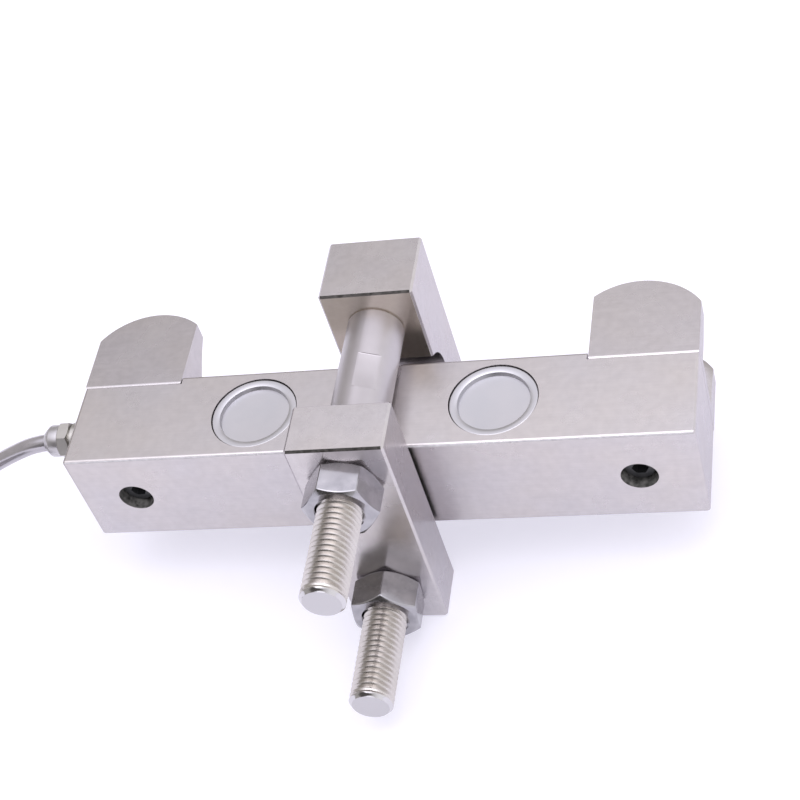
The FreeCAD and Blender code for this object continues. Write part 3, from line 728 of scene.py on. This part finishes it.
def add_shank(mesh_data, low, high, flat_turn):
    """Thick shank about the Y axis with two wrench flats cut into it."""
    part = bmesh.new()
    angles = shank_angles()
    lean = math.radians(90 - flat_turn)
    rings = []
    for height, radius, reach in shank_stations(low, high):
        ring = []
        for angle in angles:
            across = radius * math.cos(math.radians(angle))
            beside = radius * math.sin(math.radians(angle))
            across = min(reach, max(-reach, across))
            x = across * math.cos(lean) - beside * math.sin(lean)
            z = across * math.sin(lean) + beside * math.cos(lean)
            ring.append(part.verts.new((x, height, z)))
        rings.append(ring)
    skin(part, rings, closed=False)
    part.faces.new(rings[0])
    part.faces.new(rings[-1])
    bmesh.ops.remove_doubles(part, verts=part.verts, dist=SHANK_WELD)
    bmesh.ops.dissolve_degenerate(part, edges=part.edges, dist=SHANK_WELD)
    join(mesh_data, part)


def join(mesh_data, part):
    """Add one bmesh to another, with its faces turned outwards."""
    bmesh.ops.recalc_face_normals(part, faces=part.faces)
    mesh = bpy.data.meshes.new("joined")
    part.to_mesh(mesh)
    part.free()
    mesh_data.from_mesh(mesh)
    bpy.data.meshes.remove(mesh)


def make_stud(node, material):
    """Stud with a cut thread on both ends of its shank."""
    whole = bmesh.new()
    add_thread(whole, STUD_TIP, STUD_SHOULDER)
    add_shank(whole, STUD_SHOULDER, STUD_BLOCK, FLAT_TURNS[node])
    add_thread(whole, STUD_BLOCK, STUD_END)
    for vertex in whole.verts:
        vertex.co = metres((vertex.co.x, vertex.co.y, vertex.co.z + STUD_HEIGHTS[node]))
    mesh_piece(node + "_threaded", whole, material, [node])


def nut_outline(angle):
    """(radius, height) points round the nut's section, at an angle from the middle of a flat."""
    reach = min(NUT_FLATS / 2 / math.cos(math.radians(angle)), NUT_CORNER)
    drop = (reach - NUT_LAND) * NUT_SLOPE
    half = [(NUT_LAND, 0.0)]
    for k in range(NUT_ROUND_STEPS + 1):
        share = k / NUT_ROUND_STEPS
        ease_in = (1 - share) ** 2
        ease_out = share ** 2
        radius = reach - NUT_ROUND * ease_in
        half.append((radius, drop - NUT_ROUND * NUT_SLOPE * ease_in + NUT_ROUND * ease_out))
    front = [(radius, NUT_LENGTH - height) for radius, height in reversed(half)]
    inside = [(NUT_BORE + NUT_SINK, NUT_LENGTH), (NUT_BORE, NUT_LENGTH - NUT_SINK), (NUT_BORE, 0.0)]
    return half + front + inside


def make_nut(node, material):
    """Hexagon nut with turned chamfers, slightly rounded edges and a countersunk bore."""
    part = bmesh.new()
    columns = []
    for side in range(NUT_SIDES):
        middle = (360 * side + 180) / NUT_SIDES - NUT_TURNS[node]
        for angle in NUT_ANGLES:
            place = math.radians(middle + angle)
            column = []
            for radius, height in nut_outline(angle):
                x = radius * math.cos(place)
                z = NUT_HEIGHTS[node] + radius * math.sin(place)
                column.append(part.verts.new(metres((x, NUT_SEAT - height, z))))
            columns.append(column)
    skin(part, columns, closed=True)
    bmesh.ops.recalc_face_normals(part, faces=part.faces)
    mesh_piece(node + "_turned", part, material, [node], NUT_SHARP)


def turn(profile, place, closed):
    """Bmesh turned from (radius, height) points, each set down by place(radius, height, angle)."""
    part = bmesh.new()
    rings = []
    for radius, height in profile:
        ring = []
        for k in range(TURN_STEPS if radius > 0 else 1):
            ring.append(part.verts.new(metres(place(radius, height, 2 * math.pi * k / TURN_STEPS))))
        rings.append(ring)
    skin(part, rings, closed)
    bmesh.ops.recalc_face_normals(part, faces=part.faces)
    return part


def make_cover(level, side, material):
    """Pressed cover with a rounded rim and a slightly dished floor, facing up or down."""
    surface, facing = COVER_LEVELS[level]
    profile = [(COVER_INSIDE, -COVER_HEIGHT), (COVER_RADIUS, -COVER_HEIGHT)]
    for k in range(COVER_EDGE_STEPS + 1):
        bend = math.radians(90 * k / COVER_EDGE_STEPS)
        radius = COVER_RADIUS - COVER_EDGE * (1 - math.cos(bend))
        profile.append((radius, COVER_EDGE * (math.sin(bend) - 1)))
    for k in range(COVER_POINTS + 1):
        share = k / COVER_POINTS
        radius = COVER_RIM + (COVER_FLOOR - COVER_RIM) * share
        profile.append((radius, -COVER_SINK * share ** COVER_CURVE))
    inside = COVER_FLOOR - COVER_STEP[0]
    floor = -COVER_SINK - COVER_STEP[1]
    for k in range(COVER_POINTS + 1):
        share = 1 - k / COVER_POINTS
        profile.append((inside * share, floor - COVER_DISH * (1 - share ** 2)))

    def place(radius, height, angle):
        x = COVER_STATIONS[side] + radius * math.cos(angle)
        return x, COVER_DEPTH + radius * math.sin(angle), surface + facing * height

    name = level + "_" + side + "_gauge_cover"
    mesh_piece(name + "_pressed", turn(profile, place, closed=False), material, [name])


def make_cap(material):
    """Round gland cap that tapers towards the cable."""
    profile = [
        (CAP_CAVITY, 0),
        (CAP_RADIUS - CAP_EDGE, 0),
        (CAP_RADIUS, CAP_EDGE),
        (CAP_RADIUS, CAP_TAPER - CAP_EDGE),
        (CAP_RADIUS - CAP_EDGE / 2, CAP_TAPER + CAP_EDGE / 2),
        (CAP_MOUTH, CAP_LENGTH),
        (CAP_HOLE + CAP_EDGE, CAP_LENGTH),
        (CAP_HOLE, CAP_LENGTH - CAP_EDGE),
        (CAP_HOLE, CAP_LIP),
        (CAP_CAVITY, CAP_LIP),
    ]

    def place(radius, height, angle):
        x, y, z = CAP_START
        return x - height, y + radius * math.cos(angle), z + radius * math.sin(angle)

    part = turn(profile, place, closed=True)
    return mesh_piece("gland_cap_turned", part, material, ["gland_cap"])


def make_core(number, colour):
    """One of the cable's bare cores, fanned out a little from the jacket's end."""
    around = math.radians(CORE_START + 360 * number / len(CORE_TINTS))
    end_x, end_y, end_z = coil_point(COIL_ROWS * COIL_ROW_SWEEP)
    part = bmesh.new()
    rings = []
    for k in range(CORE_STATIONS + 1):
        share = k / CORE_STATIONS
        offset = CORE_PITCH + CORE_SPREAD * smooth(share)
        covered = share * CORE_LENGTH < CORE_LENGTH - CORE_BARE
        radius = CORE_RADIUS if covered else CORE_BARE_RADIUS
        ring = []
        for side in range(CORE_SIDES):
            angle = 2 * math.pi * side / CORE_SIDES
            y = end_y + offset * math.cos(around) + radius * math.cos(angle)
            z = end_z + offset * math.sin(around) + radius * math.sin(angle)
            ring.append(part.verts.new(metres((end_x - share * CORE_LENGTH, y, z))))
        rings.append(ring)
    skin(part, rings, closed=False)
    part.faces.new(rings[0])
    part.faces.new(rings[-1])
    bmesh.ops.recalc_face_normals(part, faces=part.faces)
    material = core_material("core_" + colour, CORE_TINTS[colour])
    return mesh_piece("signal_core_" + colour, part, material, [])


def paint(material, *names):
    """Give CAD nodes their material."""
    for name in names:
        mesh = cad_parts[name].data
        mesh.materials.clear()
        mesh.materials.append(material)


def make_floor():
    """Plain pale floor that stays white to the camera and in reflections, and keeps the shadow."""
    half = FLOOR_HALF
    mesh = bpy.data.meshes.new("floor")
    corners = [(-half, -half, 0), (half, -half, 0), (half, half, 0), (-half, half, 0)]
    mesh.from_pydata(corners, [], [(0, 1, 2, 3)])
    floor = bpy.data.objects.new("floor", mesh)
    bpy.context.scene.collection.objects.link(floor)
    material, tree, shader = new_material("floor_white", FLOOR_COLOUR, metallic=0.0, roughness=0.9)
    shader.inputs["Specular IOR Level"].default_value = 0.0
    rays = tree.nodes.new("ShaderNodeLightPath").outputs
    seen = reckon(tree, "ADD", rays["Is Camera Ray"], rays["Is Glossy Ray"])
    shown = reckon(tree, "ADD", seen, rays["Is Transmission Ray"])
    glow = reckon(tree, "MULTIPLY", shown, FLOOR_GLOW)
    shader.inputs["Emission Color"].default_value = FLOOR_TINT
    tree.links.new(glow, shader.inputs["Emission Strength"])
    mesh.materials.append(material)


def make_lamp():
    """Soft rectangular lamp overhead, of a plain brightness."""
    data = bpy.data.lights.new("overhead", "AREA")
    data.shape = "RECTANGLE"
    data.size, data.size_y = LAMP_SIZE
    data.energy = LAMP_RADIANCE * math.pi * LAMP_SIZE[0] * LAMP_SIZE[1]
    data.color = LAMP_COLOUR
    lamp = bpy.data.objects.new("overhead", data)
    lamp.location = LAMP_PLACE
    lamp.rotation_mode = "QUATERNION"
    lamp.rotation_quaternion = (Vector(LAMP_AIM) - Vector(LAMP_PLACE)).to_track_quat("-Z", "Y")
    bpy.context.scene.collection.objects.link(lamp)


def make_world():
    """Soft studio surroundings, bright above and at the right, darker where the photographer stands."""
    world = bpy.data.worlds.new("studio")
    bpy.context.scene.world = world
    world.use_nodes = True
    tree = world.node_tree
    sky = tree.nodes["Background"]
    way = tree.nodes.new("ShaderNodeTexCoord").outputs["Generated"]
    shade = eased(tree, along(tree, way, DARK_SIDE), *DARK_REACH)
    rise = eased(tree, along(tree, way, SKY_UP), *SKY_RISE)
    aside = eased(tree, along(tree, way, SIDE_WAY), *SIDE_REACH)
    pale = mixed(tree, rise, mixed(tree, aside, SKY_LOW, SKY_SIDE), SKY_HIGH)
    tree.links.new(mixed(tree, shade, pale, SKY_DARK), sky.inputs["Color"])
    sky.inputs["Strength"].default_value = 1.0


bpy.context.scene.view_settings.view_transform = "Standard"
make_camera()
cap_nickel = plated_metal("cap_nickel", CAP_NICKEL, rough=(0.32, 0.40), scale=150)
strap = moulded("tie_black", TIE_BLACK, roughness=0.5, grain=1000)
on_cable = [make_cap(cap_nickel), make_tie(strap)]
for core_number, core_colour in enumerate(CORE_TINTS):
    on_cable.append(make_core(core_number, core_colour))
jacket = plated_metal("cable_jacket_grey", JACKET_GREY, rough=(0.14, 0.2), scale=120, metallic=0.75)
make_cable(jacket)

turned = stud_steel()
for stud in STUD_HEIGHTS:
    make_stud(stud, turned)
nut_plate = plated_metal("nut_zinc", NUT_ZINC, rough=(0.13, 0.2), scale=160)
for nut in NUT_HEIGHTS:
    make_nut(nut, nut_plate)
pressed = plated_metal("pressed_sheet", PRESSED_SHEET, rough=(0.34, 0.40), scale=60)
for cover_level in COVER_LEVELS:
    for cover_side in COVER_STATIONS:
        make_cover(cover_level, cover_side, pressed)

paint(beam_steel(), "load_beam")
saddle_steel = ground_steel("saddle_steel", GRAIN_X, SADDLE_STEEL, rough=(0.22, 0.3))[0]
paint(saddle_steel, "left_rope_saddle", "right_rope_saddle")
paint(jaw_steel(), "front_clamp_plate", "rear_clamp_block")
oxide = moulded("screw_black_oxide", SCREW_OXIDE, roughness=0.35, grain=1500)
paint(oxide, "left_saddle_screw", "right_saddle_screw")
nickel = plated_metal("gland_nickel", GLAND_NICKEL, rough=(0.34, 0.42), scale=150)
paint(nickel, "gland_body")
rubber = moulded("gland_rubber", SEAL_RUBBER, roughness=0.6, grain=1200)
paint(rubber, "gland_seal")
film = moulded("gauge_amber", GAUGE_AMBER, roughness=0.35, grain=1500)
paint(film, "top_left_gauge", "top_right_gauge", "bottom_left_gauge", "bottom_right_gauge")
laminate = moulded("board_green", BOARD_GREEN, roughness=0.4, grain=1500)
paint(laminate, "bridge_terminal_board")
leads = moulded("lead_red", LEAD_RED, roughness=0.45, grain=1200)
paint(leads, "gland_lead", "cross_lead")

make_floor()
make_lamp()
make_world()
